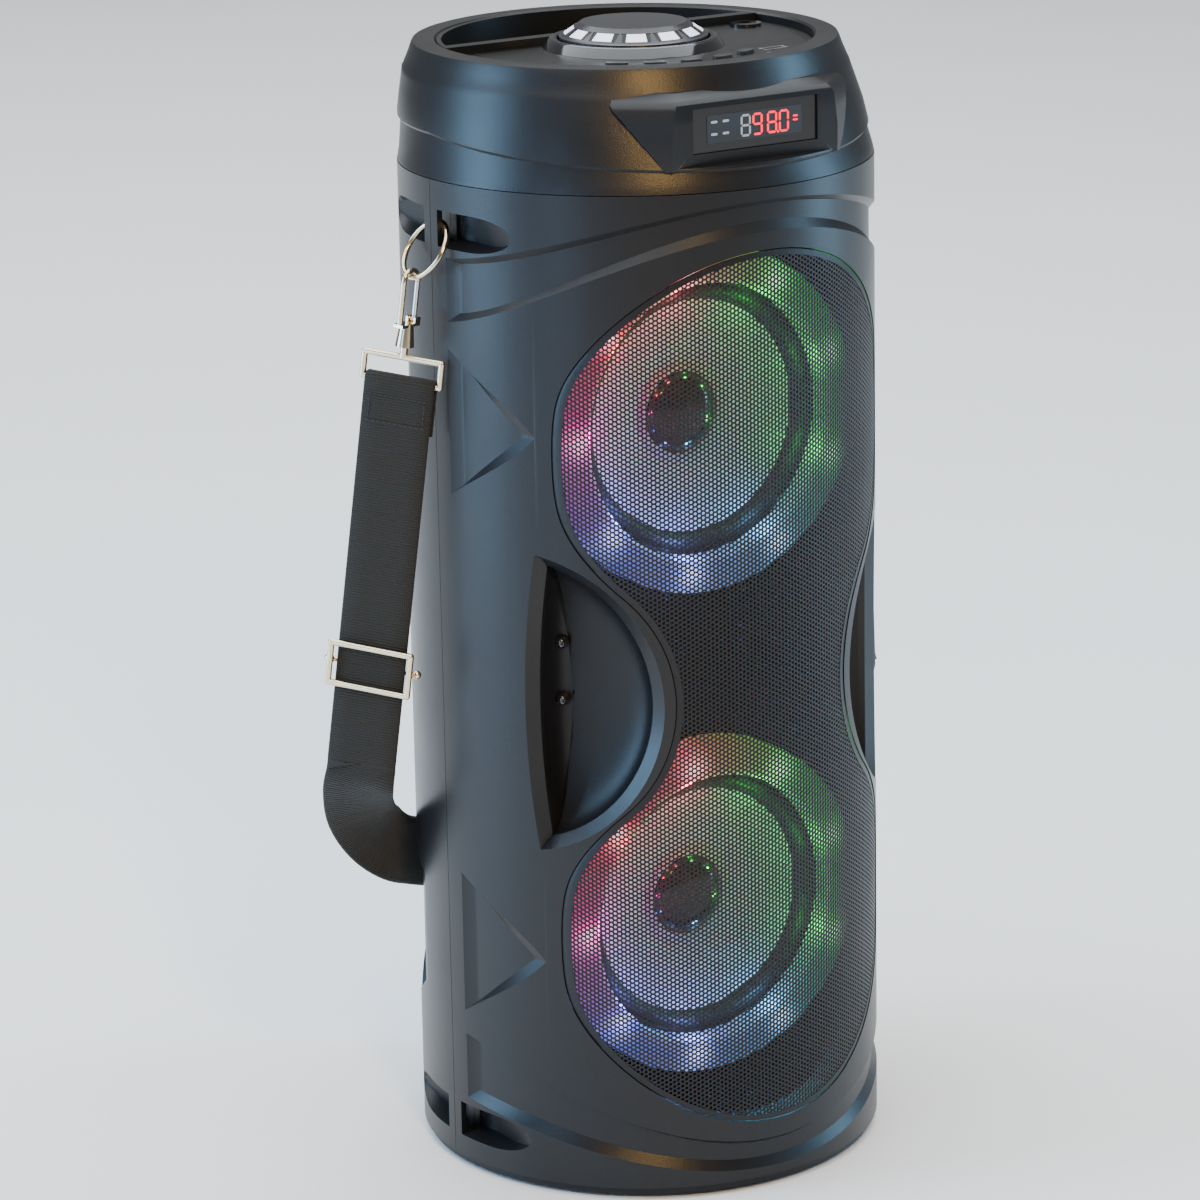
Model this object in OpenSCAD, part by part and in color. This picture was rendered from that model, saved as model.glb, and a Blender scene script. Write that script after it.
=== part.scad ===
// Tower party speaker: a round cabinet with two drivers behind an hourglass grille,
// a control head with a carry rim, and a clip-on webbing strap.
// The origin is the centre of the base on the floor; the front faces -Y.

/* [Cabinet] */
// Outside radius of the cabinet
body_r = 125; // [118:1:140]
// Wall thickness of the two shells
wall = 4; // [3:0.5:5]
// Height of the joint between shells and head
seam_z = 538.5; // [530:0.5:550]
// Depth of the moulded reliefs
relief = 2; // [1:0.5:2.5]

/* [Head] */
// Height of the carry rim
rim_z = 599.3; // [595:0.1:605]
// Outside radius of the rim
rim_r = 111; // [108:0.5:114]
// Inside radius of the rim
deck_r = 98.5; // [96:0.5:100]
// How far the rim sits behind the cabinet's axis
rim_back = 8.5; // [6:0.5:10]
// Height of the control deck
deck_z = 594.5; // [590:0.5:595]
// Width of the display window
window_w = 75; // [60:1:80]
// Height of the display window
window_h = 22.5; // [18:0.5:24]

/* [Drivers] */
// Height of the upper driver's centre
upper_z = 406; // [400:1:412]
// Height of the lower driver's centre
lower_z = 139; // [135:1:146]
// Outside radius of the driver's rubber surround
surround_r = 72; // [70:0.5:73]
// Outside radius of the cone
cone_r = 62; // [58:0.5:64]

/* [Grille] */
// Height of the grille's waist
waist_z = 272; // [268:1:276]
// Spacing of the two lobes
lobe_gap = 260; // [250:1:266]
// Radius of each lobe
lobe_r = 104; // [100:0.5:106]

/* [Strap] */
// Width of the webbing
web_w = 38; // [30:1:40]
// Thickness of one layer of webbing
web_t = 2; // [1.5:0.1:2.5]

/* [Hidden] */
inner_r = body_r - wall;
fit_gap = 0.3;
shell_z = 6.2;
seam_turn = 56;
base_z = 2;
baffle_front = -50;
baffle_t = 8;
flange_r = 82.5;
facet_y = -113;
window_z = 568.5;
knob_r = 39;
knob_z = 600.4;
knob_top = 607.4;
knob_top_r = 28.5;
collar_r = 41;
collar_base_r = 47.5;
collar_z = 599.8;
divider_y = 29;
divider_t = 8;
bowl_z = 566;
waist_x = 136.5;
waist_r = 84.5;
handle_turn = -45;
handle_r = 80.2;
handle_u = -42.6;
handle_flat_u = -30;
handle_z = 271;
handle_floor = 101;
bar_turn = 3;
bar_back_r = 121.6;
pocket_turn = 27;
pocket_z = 504.5;
pocket_h = 18.5;
ring_pivot = [-119.4, 0, 515.6];
ring_mid_r = 16.2;
ring_wire = 1.4;
ring_droop = 56;
hook_at = [-137.5, 0, 486.15];
hook_lean = [-0.7, 7.3, -48.6];
hook_yaw = 72;
button_r = 66;
button_turns = [-40, -23, -6, 11, 28];
mic_at = [82, 18];
led_count = 9;
port_z = 330;
port_r = 25;
front_reach = 62.5;
rear_start = 38;
recess_pitch = 283;
eye_half = 21;
slider_front_y = -5.8;
slider_back_y = 0.1;
panel_z = 195;

// Route of the webbing behind the cabinet, from the left slider down to the middle.
web_route = [[-164, 21.1, 225.4], [-164.2, 23, 217], [-161, 31, 206], [-151, 45, 189], [-134, 60, 171],
    [-114, 76, 156], [-90, 99, 143], [-62, 119, 131], [-32, 131, 123], [0, 135, 120]];
// Direction across the webbing at each point of the route, from its outer edge to its inner one.
web_across = [[0.656, -0.744, -0.127], [0.656, -0.744, -0.08], [0.65, -0.7, 0.1], [0.6, -0.5, 0.4],
    [0.5, -0.2, 0.7], [0.35, 0, 0.9], [0.2, 0, 1], [0.1, 0, 1], [0.05, 0, 1], [0, 0, 1]];

// ---- Helpers ----

// Part of a tube between two turns; a turn of 0 is the front, and it grows towards +X.
module sector(r1, r2, turn1, turn2, z1, z2)
    rotate([0, 0, turn1 - 90])
        rotate_extrude(angle = turn2 - turn1, $fn = 180)
            translate([r1, z1])
                square([r2 - r1, z2 - z1]);

// A plain tube. Its seam is turned away from the plane where the shells meet.
module tube(r1, r2, z1, z2)
    rotate([0, 0, seam_turn])
        difference() {
            translate([0, 0, z1])
                cylinder(r = r2, h = z2 - z1, $fn = 180);
            translate([0, 0, z1 - 1])
                cylinder(r = r1, h = z2 - z1 + 2, $fn = 180);
        }

// A front-view outline (x, z) pushed along Y from y1 to y2.
module along_y(y1, y2)
    translate([0, y2, 0])
        rotate([90, 0, 0])
            linear_extrude(y2 - y1)
                children();

// Sweeps a flat band along a route, with the given direction across it at each point.
module band(route, across, width, thick) {
    n = len(route);
    ahead = [for (i = [0:n - 1]) unit(route[min(i + 1, n - 1)] - route[max(i - 1, 0)])];
    side = [for (i = [0:n - 1]) unit(across[i] - ahead[i] * (across[i] * ahead[i]))];
    face = [for (i = [0:n - 1]) cross(ahead[i], side[i])];
    points = [for (i = [0:n - 1]) each [
        route[i] - side[i] * width / 2 - face[i] * thick / 2,
        route[i] + side[i] * width / 2 - face[i] * thick / 2,
        route[i] + side[i] * width / 2 + face[i] * thick / 2,
        route[i] - side[i] * width / 2 + face[i] * thick / 2]];
    walls = [for (i = [0:n - 2]) for (k = [0:3]) each [
        [4 * i + k, 4 * i + (k + 1) % 4, 4 * i + 4 + (k + 1) % 4],
        [4 * i + k, 4 * i + 4 + (k + 1) % 4, 4 * i + 4 + k]]];
    last = 4 * (n - 1);
    ends = [[0, 2, 1], [0, 3, 2], [last, last + 1, last + 2], [last, last + 2, last + 3]];
    polyhedron(points = points, faces = [for (f = concat(walls, ends)) [f[2], f[1], f[0]]]);
}

function unit(v) = v / norm(v);

function flip_x(v) = [-v[0], v[1], v[2]];

// Hooks, eyes and gates are drawn hanging from the origin along -Z, then set at the side.
module hang_left()
    translate(hook_at)
        rotate(hook_lean)
            children();

module hang_right()
    mirror([1, 0, 0])
        hang_left()
            children();

// ---- Cabinet ----

module hourglass(grow)
    difference() {
        union() {
            for (side = [-1, 1])
                translate([0, waist_z + side * lobe_gap / 2])
                    circle(r = lobe_r + grow, $fn = 180);
            translate([-76, waist_z - 59])
                square([152, 118]);
        }
        for (side = [-1, 1])
            translate([side * waist_x, waist_z])
                circle(r = waist_r - grow, $fn = 180);
        for (side = [-1, 1])
            translate([side * 151 - 50, 0])
                square([100, 600]);
    }

// The arched bands moulded round the shell above and below the grille.
module arched_bands() {
    difference() {
        translate([0, 280])
            circle(r = 251, $fn = 240);
        translate([0, 346.5])
            circle(r = 174.5, $fn = 240);
        translate([-130, 0])
            square([260, 440]);
    }
    difference() {
        translate([0, 286.5])
            circle(r = 272.5, $fn = 240);
        translate([0, 201.5])
            circle(r = 175, $fn = 240);
        translate([-130, 81])
            square([260, 500]);
    }
}

// A wedge-shaped relief in front of the parting line, drawn in side view (y, z).
module wedge(top, tip, bottom)
    polygon([[-11, top], [-front_reach, tip], [-11, bottom]]);

// A five-sided relief behind the parting line, drawn in side view.
module rear_recess(lift)
    translate([0, lift])
        polygon([[rear_start, 150], [72, 160], [108, 130], [72, 78], [rear_start, 92]]);

module through_side_view()
    rotate([90, 0, 90])
        linear_extrude(4 * body_r, center = true)
            children();

module relief_skin()
    tube(body_r - relief, body_r + 2, 0, seam_z + 1);

module handle_prism(grow, r1, r2)
    rotate([0, 0, handle_turn])
        translate([0, -r1, 0])
            rotate([90, 0, 0])
                linear_extrude(r2 - r1)
                    intersection() {
                        translate([handle_u, handle_z])
                            circle(r = handle_r + grow, $fn = 180);
                        translate([handle_flat_u - grow, handle_z - 100])
                            square([100, 200]);
                    }

module both_sides() {
    children();
    mirror([1, 0, 0])
        children();
}

// Room for the strap ring: two mouths and the passage behind the bar between them.
module strap_room(z) {
    sector(112, body_r + 2, -90 - pocket_turn, -90 - bar_turn, z, z + pocket_h);
    sector(112, body_r + 2, -90 + bar_turn, -90 + pocket_turn, z, z + pocket_h);
    translate([-bar_back_r, -8, z])
        cube([bar_back_r - 113, 16, pocket_h]);
}

module strap_rooms()
    both_sides() {
        strap_room(pocket_z);
        strap_room(18);
    }

module pocket_walls()
    both_sides()
        for (z = [pocket_z, 18])
            sector(110, inner_r + 1, -90 - pocket_turn - 2, -90 + pocket_turn + 2, z - 2, z + pocket_h + 2);

module shell_blank()
    difference() {
        union() {
            tube(inner_r, body_r, shell_z, seam_z - fit_gap);
            pocket_walls();
        }
        strap_rooms();
    }

module front_shell()
    color("#1d1f22")
        difference() {
            intersection() {
                shell_blank();
                translate([-200, -200, 0])
                    cube([400, 200, 700]);
            }
            along_y(-200, -40)
                hourglass(0.6);
            both_sides()
                handle_prism(0, 90, 140);
            intersection() {
                relief_skin();
                along_y(-200, -16)
                    arched_bands();
            }
            intersection() {
                relief_skin();
                through_side_view() {
                    wedge(447, 412, 380);
                    wedge(163, 130, 96);
                }
            }
        }

module rear_shell()
    color("#1b1d20")
        difference() {
            intersection() {
                shell_blank();
                translate([-200, 0, 0])
                    cube([400, 200, 700]);
            }
            intersection() {
                relief_skin();
                through_side_view() {
                    rear_recess(0);
                    rear_recess(recess_pitch);
                }
            }
            translate([0, 0, port_z])
                rotate([-90, 0, 0])
                    cylinder(r = port_r + 3.3, h = 200, $fn = 96);
            translate([-45.3, 60, panel_z - 35.3])
                cube([90.6, 100, 70.6]);
        }

module handle_cup_left()
    color("#141517")
        difference() {
            intersection() {
                handle_prism(-0.2, handle_floor - 3, 140);
                cylinder(r = body_r - 1, h = 600, $fn = 180);
            }
            handle_prism(-3, handle_floor, 150);
        }

module handle_cup_right()
    mirror([1, 0, 0])
        handle_cup_left();

module grille()
    color("#2a2c2f")
        intersection() {
            tube(body_r - 1.6, body_r - 0.2, 20, 530);
            along_y(-200, -40)
                hourglass(0);
        }

module base_plate()
    color("#17181a")
        difference() {
            union() {
                translate([0, 0, base_z])
                    cylinder(r = 122.5, h = 4, $fn = 180);
                translate([0, 0, 5])
                    cylinder(r = inner_r - fit_gap, h = 6, $fn = 180);
            }
            translate([0, 0, 8])
                cylinder(r = 112, h = 10, $fn = 180);
            for (turn = [45:90:315])
                rotate([0, 0, turn])
                    translate([98, 0, 0])
                        cylinder(r = 12, h = 3, $fn = 48);
            base_screws(0.05);
        }

module rubber_feet()
    color("#0e0e0f")
        for (turn = [45:90:315])
            rotate([0, 0, turn])
                translate([98, 0, 0])
                    cylinder(r = 11.9, h = 3, $fn = 48);

module baffle()
    color("#101112")
        difference() {
            intersection() {
                translate([-130, baffle_front, 11.1])
                    cube([260, baffle_t, seam_z - 13]);
                cylinder(r = inner_r - fit_gap, h = 600, $fn = 180);
            }
            for (z = [upper_z, lower_z])
                translate([0, 0, z])
                    rotate([90, 0, 0])
                        cylinder(r = 68.5, h = 200, center = true, $fn = 120);
            both_sides()
                for (z = [pocket_z, 18])
                    sector(109, 130, -90 - pocket_turn - 3, -90 + pocket_turn + 3, z - 3, z + pocket_h + 3);
            both_sides()
                handle_prism(0.5, 97, 140);
            driver_screws(0.05);
        }

// ---- Head ----

module disc(back, r, z)
    translate([0, back, z])
        cylinder(r = r, h = 0.1, $fn = 96);

module head_outside()
    hull() {
        disc(0, body_r - 0.2, seam_z);
        disc(1, body_r - 0.8, 549);
        disc(rim_back, 117, 585.4);
        disc(rim_back, rim_r + 1, rim_z - 1.5);
        disc(rim_back, rim_r, rim_z - 0.1);
    }

// The flat-fronted pod that carries the display.
module display_pod()
    hull() {
        translate([0, 0, 583])
            linear_extrude(0.1)
                polygon([[-45, facet_y], [45, facet_y], [67, -89], [60, -70], [-60, -70], [-67, -89]]);
        translate([0, 0, 550])
            linear_extrude(0.1)
                polygon([[-54, facet_y], [54, facet_y], [73, -101], [60, -70], [-60, -70], [-73, -101]]);
        translate([0, 0, 588])
            linear_extrude(0.1)
                polygon([[-44, -106], [44, -106], [60, -86], [50, -70], [-50, -70], [-60, -86]]);
    }

module top_cap()
    color("#1e2023")
        difference() {
            union() {
                head_outside();
                display_pod();
            }
            difference() {
                hull() {
                    disc(0, inner_r - 0.5, seam_z - 1);
                    disc(1, inner_r - 0.5, 549);
                    disc(rim_back, 113, 584);
                }
                translate([-60, -130, 552])
                    cube([120, 22, 60]);
            }
            translate([0, rim_back, 560])
                cylinder(r = deck_r + fit_gap, h = 100, $fn = 96);
            translate([-80, -160, 551])
                cube([160, 160 + facet_y, 31.6]);
            translate([-window_w / 2 - 0.2, -160, window_z - window_h / 2 - 0.2])
                cube([window_w + 0.4, 100, window_h + 0.4]);
        }

module display_window()
    color("#0b0c10")
        translate([-window_w / 2, facet_y + 0.8, window_z - window_h / 2])
            cube([window_w, 1.6, window_h]);

module display_board()
    color("#1c2430") {
        translate([-window_w / 2 + 3, facet_y + 2.6, window_z - 9])
            cube([window_w - 6, 5, 18]);
        translate([-window_w / 2 + 1, facet_y + 7.5, window_z - 10.5])
            cube([window_w - 2, 1.6, 21]);
    }

module at_deck(turn, r)
    rotate([0, 0, turn])
        translate([0, -r, 0])
            children();

module pill(length, width, height) {
    cube([length - width, width, height], center = true);
    for (side = [-1, 1])
        translate([side * (length - width) / 2, 0, 0])
            cylinder(r = width / 2, h = height, center = true, $fn = 48);
}

module control_panel()
    color("#1a1b1e")
        difference() {
            union() {
                // deck in front of the divider
                intersection() {
                    translate([0, rim_back, deck_z - 3])
                        cylinder(r = deck_r, h = 3, $fn = 180);
                    translate([-150, -150, 0])
                        cube([300, 150 + divider_y + 1, 700]);
                }
                // collar round the knob
                cylinder_ring();
                // bowl behind the divider
                intersection() {
                    difference() {
                        translate([0, rim_back, bowl_z])
                            cylinder(r = deck_r, h = rim_z - bowl_z - 0.5, $fn = 180);
                        translate([0, rim_back, bowl_z + 3])
                            cylinder(r = deck_r - 2.5, h = 60, $fn = 180);
                    }
                    translate([-150, divider_y, 0])
                        cube([300, 150, 700]);
                }
                intersection() {
                    translate([0, rim_back, bowl_z])
                        cylinder(r = deck_r, h = rim_z - bowl_z - 0.5, $fn = 180);
                    translate([-150, divider_y, 0])
                        cube([300, divider_t, 700]);
                }
            }
            translate([0, 0, 595.6])
                cylinder(r = collar_r - 0.8, h = 30, $fn = 180);
            translate([0, 0, 560])
                cylinder(r = 4.2, h = 60, $fn = 48);
            for (turn = button_turns)
                at_deck(turn, button_r)
                    translate([0, 0, deck_z])
                        pill(12.6, 6.6, 20);
            translate([mic_at[0], mic_at[1], 560])
                cylinder(r = 6.1, h = 60, $fn = 96);
            usb_space(0.15);
            card_space(0.15);
        }

module cylinder_ring()
    rotate_extrude($fn = 180)
        polygon([[12, deck_z - 3], [collar_base_r, deck_z - 3], [collar_base_r, deck_z],
            [collar_r + 3, collar_z - 0.7], [collar_r + 1, collar_z], [collar_r - 1, collar_z - 0.6],
            [collar_r - 1.5, 593.5], [12, 593.5]]);

module usb_space(grow)
    translate([52, -53, deck_z - 7])
        cube([15 + 2 * grow, 7 + 2 * grow, 14.4], center = true);

module card_space(grow)
    translate([48, -64.5, deck_z - 6])
        cube([14 + 2 * grow, 3.4 + 2 * grow, 12.2], center = true);

// Lit windows set into the knob's bevel.
module knob_windows()
    for (turn = [0:30:330])
        rotate([0, 0, turn])
            intersection() {
                rotate_extrude($fn = 180)
                    polygon([[knob_r - 2.4, knob_z + 0.8], [knob_r - 2.2, knob_z + 1.5],
                        [knob_top_r + 2.6, knob_top - 1.7], [knob_top_r + 2.4, knob_top - 2.5]]);
                translate([0, -7.5, 590])
                    cube([60, 15, 30]);
            }

module knob()
    color("#232427")
        difference() {
            rotate_extrude($fn = 180)
                polygon([[3, 596.6], [10, 596.6], [10, 598.4], [knob_r - 1.2, 598.4], [knob_r, 599.2], [knob_r, knob_z],
                    [knob_r - 1.4, knob_z + 0.4], [knob_top_r + 0.6, knob_top - 0.9], [knob_top_r - 0.6, knob_top],
                    [0, knob_top], [0, 604], [3, 604]]);
            knob_windows();
        }

module knob_light_ring()
    color("#e8e4ff")
        knob_windows();

module control_board()
    color("#1f5a35") {
        difference() {
            translate([0, 0, 580])
                cylinder(r = 76, h = 1.6, $fn = 120);
            translate([-100, divider_y - 3, 500])
                cube([200, 200, 200]);
            usb_space(1);
            card_space(1);
        }
        translate([-6, -6, 581.6])
            cube([12, 12, 8]);
        translate([0, 0, 589.6])
            cylinder(r = 2.97, h = 14, $fn = 48);
        for (turn = button_turns)
            at_deck(turn, button_r)
                translate([-3, -3, 581.6])
                    cube([6, 6, 4]);
    }

module deck_button(i)
    color("#26272a")
        at_deck(button_turns[i], button_r) {
            translate([0, 0, deck_z - 0.6])
                pill(11.8, 5.8, 4.8);
            translate([0, 0, 589.3])
                cylinder(r = 1.5, h = 5.6, center = true, $fn = 24);
        }

module mode_button() deck_button(0);
module previous_button() deck_button(1);
module play_button() deck_button(2);
module next_button() deck_button(3);
module light_button() deck_button(4);

module mic_socket()
    color("#0f1011")
        translate([mic_at[0], mic_at[1], 0])
            difference() {
                union() {
                    translate([0, 0, 568])
                        cylinder(r = 6, h = deck_z - 568, $fn = 96);
                    translate([0, 0, deck_z])
                        cylinder(r = 8.5, h = 1.8, $fn = 96);
                }
                translate([0, 0, 572])
                    cylinder(r = 3.25, h = 60, $fn = 96);
            }

module usb_socket()
    color("#b9bcc0")
        difference() {
            usb_space(0);
            translate([52, -53, deck_z - 5.5])
                cube([12.4, 5, 13], center = true);
        }

module card_socket()
    color("#c4c6c9")
        difference() {
            card_space(0);
            translate([48, -64.5, deck_z - 5])
                cube([11.6, 1.2, 12], center = true);
        }

// ---- Drivers ----

// Turns a profile of (radius, distance forward) about a driver's axis.
module turned(z)
    translate([0, 0, z])
        rotate([90, 0, 0])
            rotate_extrude($fn = 144)
                children();

module basket(z)
    color("#3a3c40")
        difference() {
            union() {
                turned(z)
                    polygon([[66.2, 53.6], [66.2, 48], [39.5, 24], [37, 20], [35, 12.4], [20, 12.4], [20, 10.1],
                        [38, 10.1], [42, 22.5], [68.2, 46.6], [68.2, 50.2], [flange_r, 50.2], [flange_r, 53.6]]);
            }
            for (turn = [30:60:330])
                translate([0, 0, z])
                    rotate([0, turn, 0])
                        translate([-10, -44, 0])
                            cube([20, 18, 80]);
            driver_screws(0.05);
        }

module magnet(z)
    color("#4a4b4e")
        turned(z) {
            translate([14.1, 5])
                square([20.7, 5]);
            translate([20, -10])
                square([22, 15]);
            translate([0, -16])
                square([36, 6]);
            translate([0, -16])
                square([12.3, 26]);
        }

module cone(z)
    color("#9aa0a6")
        turned(z)
            polygon([[13.5, 36.2], [22, 38.6], [cone_r - 0.2, 50.2], [cone_r - 0.2, 49.3], [22, 37.7], [13.5, 35.3]]);

module surround(z)
    color("#141516")
        turned(z)
            polygon([[cone_r, 49.3], [cone_r, 50.4], [63.4, 54.6], [67, 56.4], [70.2, 55.4], [surround_r, 54.6],
                [surround_r, 53.7], [70, 54.2], [67, 55.2], [64.4, 53.8], [63.2, 49.3]]);

module dust_cap(z)
    color("#222326")
        turned(z)
            polygon([[21.8, 38.9], [18, 42], [12, 44.6], [6, 45.9], [0, 46.3], [0, 45.4], [6, 45], [12, 43.7],
                [17.6, 41.2], [20.9, 38.7]]);

module voice_coil(z)
    color("#b8793e")
        turned(z)
            polygon([[12.75, 38.2], [13.3, 38.2], [13.3, -4], [12.75, -4]]);

module spider(z)
    color("#b89a5a")
        turned(z)
            polygon([[13.5, 20.6], [18, 22], [23, 20.6], [28, 22], [33, 20.6], [36.9, 20.6], [36.9, 19.7], [33, 19.7],
                [28, 21], [23, 19.7], [18, 21], [13.5, 19.7]]);

module light_ring(z)
    color("#dfe6f2")
        turned(z)
            polygon([[73, 57], [73, 68], [75.5, 70], [89.5, 70], [92, 68], [92, 50.2], [90.2, 50.2], [90.2, 67.4],
                [89, 68.4], [76, 68.4], [74.8, 67.4], [74.8, 57]]);

module light_board(z)
    color("#e9ebee") {
        turned(z)
            translate([75.5, 55])
                square([13.8, 1.4]);
        for (i = [0:led_count - 1])
            translate([0, 0, z])
                rotate([0, -20 - i * 360 / led_count, 0])
                    translate([79, -58, -2.5])
                        cube([5, 1.7, 5]);
    }

module upper_basket() basket(upper_z);
module upper_magnet() magnet(upper_z);
module upper_cone() cone(upper_z);
module upper_surround() surround(upper_z);
module upper_dust_cap() dust_cap(upper_z);
module upper_voice_coil() voice_coil(upper_z);
module upper_spider() spider(upper_z);
module upper_light_ring() light_ring(upper_z);
module upper_light_board() light_board(upper_z);
module lower_basket() basket(lower_z);
module lower_magnet() magnet(lower_z);
module lower_cone() cone(lower_z);
module lower_surround() surround(lower_z);
module lower_dust_cap() dust_cap(lower_z);
module lower_voice_coil() voice_coil(lower_z);
module lower_spider() spider(lower_z);
module lower_light_ring() light_ring(lower_z);
module lower_light_board() light_board(lower_z);

// ---- Fasteners ----

module driver_screws(grow)
    for (z = [upper_z, lower_z], turn = [45:90:315])
        translate([0, 0, z])
            rotate([0, turn, 0])
                translate([76, 0, 0])
                    rotate([90, 0, 0]) {
                        translate([0, 0, 44])
                            cylinder(r = 2 + grow, h = 10, $fn = 32);
                        translate([0, 0, 53.6])
                            cylinder(r = 3.4, h = 1.2, $fn = 32);
                    }

module base_screws(grow)
    for (turn = [0:90:270])
        rotate([0, 0, turn])
            translate([104, 0, 0]) {
                translate([0, 0, base_z])
                    cylinder(r = 3.6 + grow, h = 2, $fn = 32);
                translate([0, 0, base_z + 1])
                    cylinder(r = 2 + grow, h = 12, $fn = 32);
            }

module assembly_screws()
    color("#8d8f92") {
        driver_screws(0);
        base_screws(0);
    }

// ---- Electronics and the back ----

module main_board()
    color("#20603a") {
        translate([-50, 70, 225])
            cube([100, 1.6, 65]);
        translate([-40, 60, 235])
            cube([80, 10, 40]);
    }

module battery_pack()
    color("#2b2d31")
        translate([-45, 22, 8.2])
            cube([90, 70, 104]);

module rear_panel()
    color("#161719")
        difference() {
            translate([-45, 112, panel_z - 35])
                cube([90, 3, 70]);
            translate([-30, 100, panel_z - 10.2])
                cube([14.4, 30, 20.4]);
            translate([22, 100, panel_z])
                rotate([-90, 0, 0])
                    cylinder(r = 5.1, h = 30, $fn = 48);
        }

module power_switch()
    color("#0d0d0e")
        translate([-22.8, 114.5, panel_z])
            rotate([0, 90, 0])
                linear_extrude(13, center = true)
                    polygon([[-8, -7], [8, -7], [9.4, 1.2], [0, 2.2], [-9.4, 4]]);

module charge_socket()
    color("#101011")
        translate([22, 0, panel_z])
            rotate([-90, 0, 0])
                difference() {
                    translate([0, 0, 102])
                        cylinder(r = 5, h = 13.6, $fn = 48);
                    difference() {
                        translate([0, 0, 106])
                            cylinder(r = 2.8, h = 20, $fn = 48);
                        translate([0, 0, 100])
                            cylinder(r = 1, h = 14, $fn = 24);
                    }
                }

module port_tube()
    color("#131416")
        translate([0, 0, port_z])
            rotate([-90, 0, 0])
                difference() {
                    translate([0, 0, 60])
                        cylinder(r = port_r + 3, h = 64, $fn = 96);
                    translate([0, 0, 50])
                        cylinder(r = port_r, h = 90, $fn = 96);
                }

// ---- Strap ----

module ring_left()
    color("#cfc3a4")
        translate(ring_pivot)
            rotate([0, -ring_droop, 0])
                translate([-ring_mid_r, 0, 0])
                    rotate_extrude($fn = 96)
                        translate([ring_mid_r, 0])
                            circle(r = ring_wire, $fn = 32);

module ring_right()
    mirror([1, 0, 0])
        ring_left();

// Snap hook: round bow over the ring, a thin back, a fork for the gate and a socket for the swivel.
module hook()
    color("#c9b183") {
        rotate([90, 0, 0])
            rotate_extrude(angle = 180, $fn = 96)
                translate([6, 0])
                    circle(r = 1.5, $fn = 32);
        translate([-6, 0, -22])
            cylinder(r = 1.5, h = 22, $fn = 32);
        for (side = [-1, 1])
            translate([3, side * 2.4 - 0.6, -23.4])
                cube([4.6, 1.2, 4.4]);
        translate([6, 0, -20.6])
            rotate([90, 0, 0])
                cylinder(r = 0.6, h = 6, center = true, $fn = 32);
        translate([-7.5, -3, -23.4])
            cube([15, 6, 1.6]);
        difference() {
            translate([0, 0, -34])
                cylinder(r1 = 5, r2 = 3.6, h = 12, $fn = 64);
            translate([0, 0, -35])
                cylinder(r = 2.05, h = 9, $fn = 48);
        }
    }

module hook_left()
    hang_left()
        rotate([0, 0, hook_yaw])
            hook();

module hook_right()
    mirror([1, 0, 0])
        hook_left();

// Gate: a round bar from its hinge barrel up to the end of the bow.
module gate()
    color("#b5b7ba")
        difference() {
            union() {
                translate([6, 0, -20.6])
                    cylinder(r = 1.3, h = 20.2, $fn = 32);
                translate([6, 0, -20.6])
                    rotate([90, 0, 0])
                        cylinder(r = 1.15, h = 3, center = true, $fn = 48);
            }
            translate([6, 0, -20.6])
                rotate([90, 0, 0])
                    cylinder(r = 0.65, h = 8, center = true, $fn = 48);
        }

module gate_left()
    hang_left()
        rotate([0, 0, hook_yaw])
            gate();

module gate_right()
    mirror([1, 0, 0])
        gate_left();

// Swivel eye: a flat loop for the webbing, with a post that turns in the hook.
module strap_eye()
    color("#cbb384") {
        translate([0, 0, -40])
            cylinder(r = 2, h = 13.6, $fn = 48);
        for (z = [-40, -53])
            translate([0, 0, z])
                rotate([0, 90, 0])
                    cylinder(r = 1.7, h = 2 * eye_half, center = true, $fn = 32);
        for (side = [-1, 1])
            translate([side * eye_half, 0, -53])
                cylinder(r = 1.7, h = 13, $fn = 32);
        for (side = [-1, 1], z = [-40, -53])
            translate([side * eye_half, 0, z])
                sphere(r = 1.7, $fn = 32);
    }

module strap_eye_left() hang_left() strap_eye();
module strap_eye_right() hang_right() strap_eye();

// Webbing folded over the lower bar of the eye and stitched, then straight down.
module side_web(length)
    color("#141414") {
        for (side = [-1, 1])
            translate([0, side * (1.75 + web_t / 2), -66])
                cube([web_w, web_t, 26], center = true);
        translate([0, 0, -53])
            rotate([0, 90, 0])
                difference() {
                    cylinder(r = 1.75 + web_t, h = web_w, center = true, $fn = 48);
                    cylinder(r = 1.75, h = web_w + 1, center = true, $fn = 48);
                    translate([0.01, -10, -30])
                        cube([20, 20, 60]);
                }
        translate([0, -1.75 - web_t / 2, -79 - (length - 79) / 2])
            cube([web_w, web_t, length - 79], center = true);
    }

module webbing_left()
    hang_left()
        side_web(262);

module webbing_right()
    hang_right()
        side_web(262);

// Slider: a wire frame in front of the webbing, and a centre bar behind it with knobbed ends.
module slider()
    color("#cdb588")
        hang_left()
            translate([0, 0, -208]) {
                for (z = [-11, 11])
                    translate([0, slider_front_y, z])
                        rotate([0, 90, 0])
                            cylinder(r = 1.7, h = 44, center = true, $fn = 32);
                for (side = [-1, 1]) {
                    translate([side * 22, slider_front_y, -11])
                        cylinder(r = 1.7, h = 22, $fn = 32);
                    for (z = [-11, 11])
                        translate([side * 22, slider_front_y, z])
                            sphere(r = 1.7, $fn = 32);
                    translate([side * 22, slider_front_y, 0])
                        rotate([-90, 0, 0])
                            cylinder(r = 1.5, h = slider_back_y - slider_front_y, $fn = 32);
                    translate([side * 24.5, slider_back_y, 0])
                        sphere(r = 2.3, $fn = 32);
                }
                translate([0, slider_back_y, 0])
                    rotate([0, 90, 0])
                        cylinder(r = 1.5, h = 48, center = true, $fn = 32);
            }

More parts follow.
